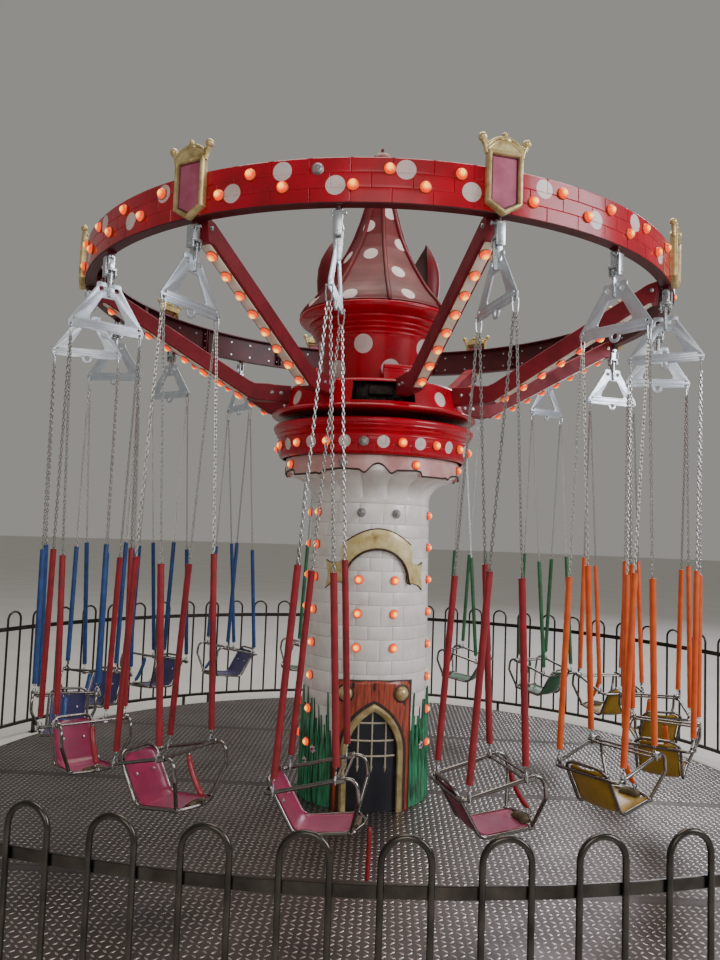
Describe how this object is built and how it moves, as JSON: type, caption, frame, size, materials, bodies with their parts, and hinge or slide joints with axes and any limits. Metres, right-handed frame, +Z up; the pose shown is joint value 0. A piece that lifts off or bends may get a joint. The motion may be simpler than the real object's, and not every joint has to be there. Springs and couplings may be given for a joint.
{
  "type": "chair swing ride",
  "caption": "Small fairground chair swing ride: a castle-shaped tower on a round deck carries a turning rim with hanging child chairs, inside a ring of hoop-top fence.",
  "frame": {"origin": "ground level on the tower axis", "axes": "+Z up; -Y out through the tower door; the rotor turns about +Z"},
  "size_m": [6.3566, 6.3402, 4.42],
  "materials": {
    "tread_steel": "rolled tread pattern, worn bright",
    "tower_white": "gelcoat, moulded as stone blocks",
    "gloss_red": "gelcoat, high gloss",
    "dot_white": "painted dots under clear coat",
    "door_orange": "moulded wood grain, painted",
    "door_navy": "satin paint",
    "scroll_gold": "moulded, aged gold paint",
    "crest_gold": "moulded, metallic gold paint",
    "crest_pink": "gloss paint",
    "grass_green": "brush-painted leaves",
    "beam_red": "gloss enamel",
    "led_board": "satin strip that carries the lamps",
    "lamp_cap": "translucent cap, lit from inside",
    "zinc_steel": "galvanised",
    "tube_steel": "polished stainless tube",
    "fence_steel": "dull stainless",
    "seat_magenta": "moulded",
    "seat_mustard": "moulded",
    "seat_green": "moulded",
    "seat_navy": "moulded",
    "sleeve_red": "soft plastic tube",
    "sleeve_orange": "soft plastic tube",
    "sleeve_green": "soft plastic tube",
    "sleeve_blue": "soft plastic tube"
  },
  "bodies": {
    "root": {"deck_platform": "tread_steel", "tower_shaft": "tower_white", "tower_capital": "tower_white", "tower_cornice": "gloss_red", "door_surround": "door_orange", "door_leaf": "door_navy", "scroll_banner": "scroll_gold", "fence_panel_1": "fence_steel", "fence_panel_2": "fence_steel", "fence_panel_3": "fence_steel", "fence_panel_4": "fence_steel", "fence_panel_5": "fence_steel", "fence_panel_6": "fence_steel"},
    "rotor": {"slewing_hub": "gloss_red", "neck_drum": "gloss_red", "cone_roof": "gloss_red", "rim": "gloss_red", "arm_1": "beam_red", "arm_2": "beam_red", "arm_3": "beam_red", "arm_4": "beam_red", "arm_5": "beam_red", "arm_6": "beam_red", "arm_7": "beam_red", "arm_8": "beam_red"},
    "swing_01": {"suspension_01": "zinc_steel", "chair_01": "seat_magenta"},
    "swing_02": {"suspension_02": "zinc_steel", "chair_02": "seat_magenta"},
    "swing_03": {"suspension_03": "zinc_steel", "chair_03": "seat_mustard"},
    "swing_04": {"suspension_04": "zinc_steel", "chair_04": "seat_mustard"},
    "swing_05": {"suspension_05": "zinc_steel", "chair_05": "seat_mustard"},
    "swing_06": {"suspension_06": "zinc_steel", "chair_06": "seat_mustard"},
    "swing_07": {"suspension_07": "zinc_steel", "chair_07": "seat_green"},
    "swing_08": {"suspension_08": "zinc_steel", "chair_08": "seat_green"},
    "swing_09": {"suspension_09": "zinc_steel", "chair_09": "seat_green"},
    "swing_10": {"suspension_10": "zinc_steel", "chair_10": "seat_green"},
    "swing_11": {"suspension_11": "zinc_steel", "chair_11": "seat_navy"},
    "swing_12": {"suspension_12": "zinc_steel", "chair_12": "seat_navy"},
    "swing_13": {"suspension_13": "zinc_steel", "chair_13": "seat_navy"},
    "swing_14": {"suspension_14": "zinc_steel", "chair_14": "seat_navy"},
    "swing_15": {"suspension_15": "zinc_steel", "chair_15": "seat_magenta"},
    "swing_16": {"suspension_16": "zinc_steel", "chair_16": "seat_magenta"}
  },
  "joints": [
    {"name": "carousel_spin", "type": "hinge", "parent": "root", "child": "rotor", "pos_m": [0, 0, 2.504], "axis": [0, 0, 1], "continuous": true},
    {"name": "swing_01_hang", "type": "hinge", "parent": "rotor", "child": "swing_01", "pos_m": [-0.4401, -1.77835, 3.181], "axis": [-0.9707, 0.2402, 0], "range_deg": [-8, 20]},
    {"name": "swing_02_hang", "type": "hinge", "parent": "rotor", "child": "swing_02", "pos_m": [0.27395, -1.8114, 3.181], "axis": [-0.9888, -0.1495, 0], "range_deg": [-8, 20]},
    {"name": "swing_03_hang", "type": "hinge", "parent": "rotor", "child": "swing_03", "pos_m": [0.94629, -1.56868, 3.181], "axis": [-0.8563, -0.5165, 0], "range_deg": [-8, 20]},
    {"name": "swing_04_hang", "type": "hinge", "parent": "rotor", "child": "swing_04", "pos_m": [1.47456, -1.08714, 3.181], "axis": [-0.5934, -0.8049, 0], "range_deg": [-8, 20]},
    {"name": "swing_05_hang", "type": "hinge", "parent": "rotor", "child": "swing_05", "pos_m": [1.77835, -0.4401, 3.181], "axis": [-0.2402, -0.9707, 0], "range_deg": [-8, 20]},
    {"name": "swing_06_hang", "type": "hinge", "parent": "rotor", "child": "swing_06", "pos_m": [1.8114, 0.27395, 3.181], "axis": [0.1495, -0.9888, 0], "range_deg": [-8, 20]},
    {"name": "swing_07_hang", "type": "hinge", "parent": "rotor", "child": "swing_07", "pos_m": [1.56868, 0.94629, 3.181], "axis": [0.5165, -0.8563, 0], "range_deg": [-8, 20]},
    {"name": "swing_08_hang", "type": "hinge", "parent": "rotor", "child": "swing_08", "pos_m": [1.08714, 1.47456, 3.181], "axis": [0.8049, -0.5934, 0], "range_deg": [-8, 20]},
    {"name": "swing_09_hang", "type": "hinge", "parent": "rotor", "child": "swing_09", "pos_m": [0.4401, 1.77835, 3.181], "axis": [0.9707, -0.2402, 0], "range_deg": [-8, 20]},
    {"name": "swing_10_hang", "type": "hinge", "parent": "rotor", "child": "swing_10", "pos_m": [-0.27395, 1.8114, 3.181], "axis": [0.9888, 0.1495, 0], "range_deg": [-8, 20]},
    {"name": "swing_11_hang", "type": "hinge", "parent": "rotor", "child": "swing_11", "pos_m": [-0.94629, 1.56868, 3.181], "axis": [0.8563, 0.5165, 0], "range_deg": [-8, 20]},
    {"name": "swing_12_hang", "type": "hinge", "parent": "rotor", "child": "swing_12", "pos_m": [-1.47456, 1.08714, 3.181], "axis": [0.5934, 0.8049, 0], "range_deg": [-8, 20]},
    {"name": "swing_13_hang", "type": "hinge", "parent": "rotor", "child": "swing_13", "pos_m": [-1.77835, 0.4401, 3.181], "axis": [0.2402, 0.9707, 0], "range_deg": [-8, 20]},
    {"name": "swing_14_hang", "type": "hinge", "parent": "rotor", "child": "swing_14", "pos_m": [-1.8114, -0.27395, 3.181], "axis": [-0.1495, 0.9888, 0], "range_deg": [-8, 20]},
    {"name": "swing_15_hang", "type": "hinge", "parent": "rotor", "child": "swing_15", "pos_m": [-1.56868, -0.94629, 3.181], "axis": [-0.5165, 0.8563, 0], "range_deg": [-8, 20]},
    {"name": "swing_16_hang", "type": "hinge", "parent": "rotor", "child": "swing_16", "pos_m": [-1.08714, -1.47456, 3.181], "axis": [-0.8049, 0.5934, 0], "range_deg": [-8, 20]}
  ]
}
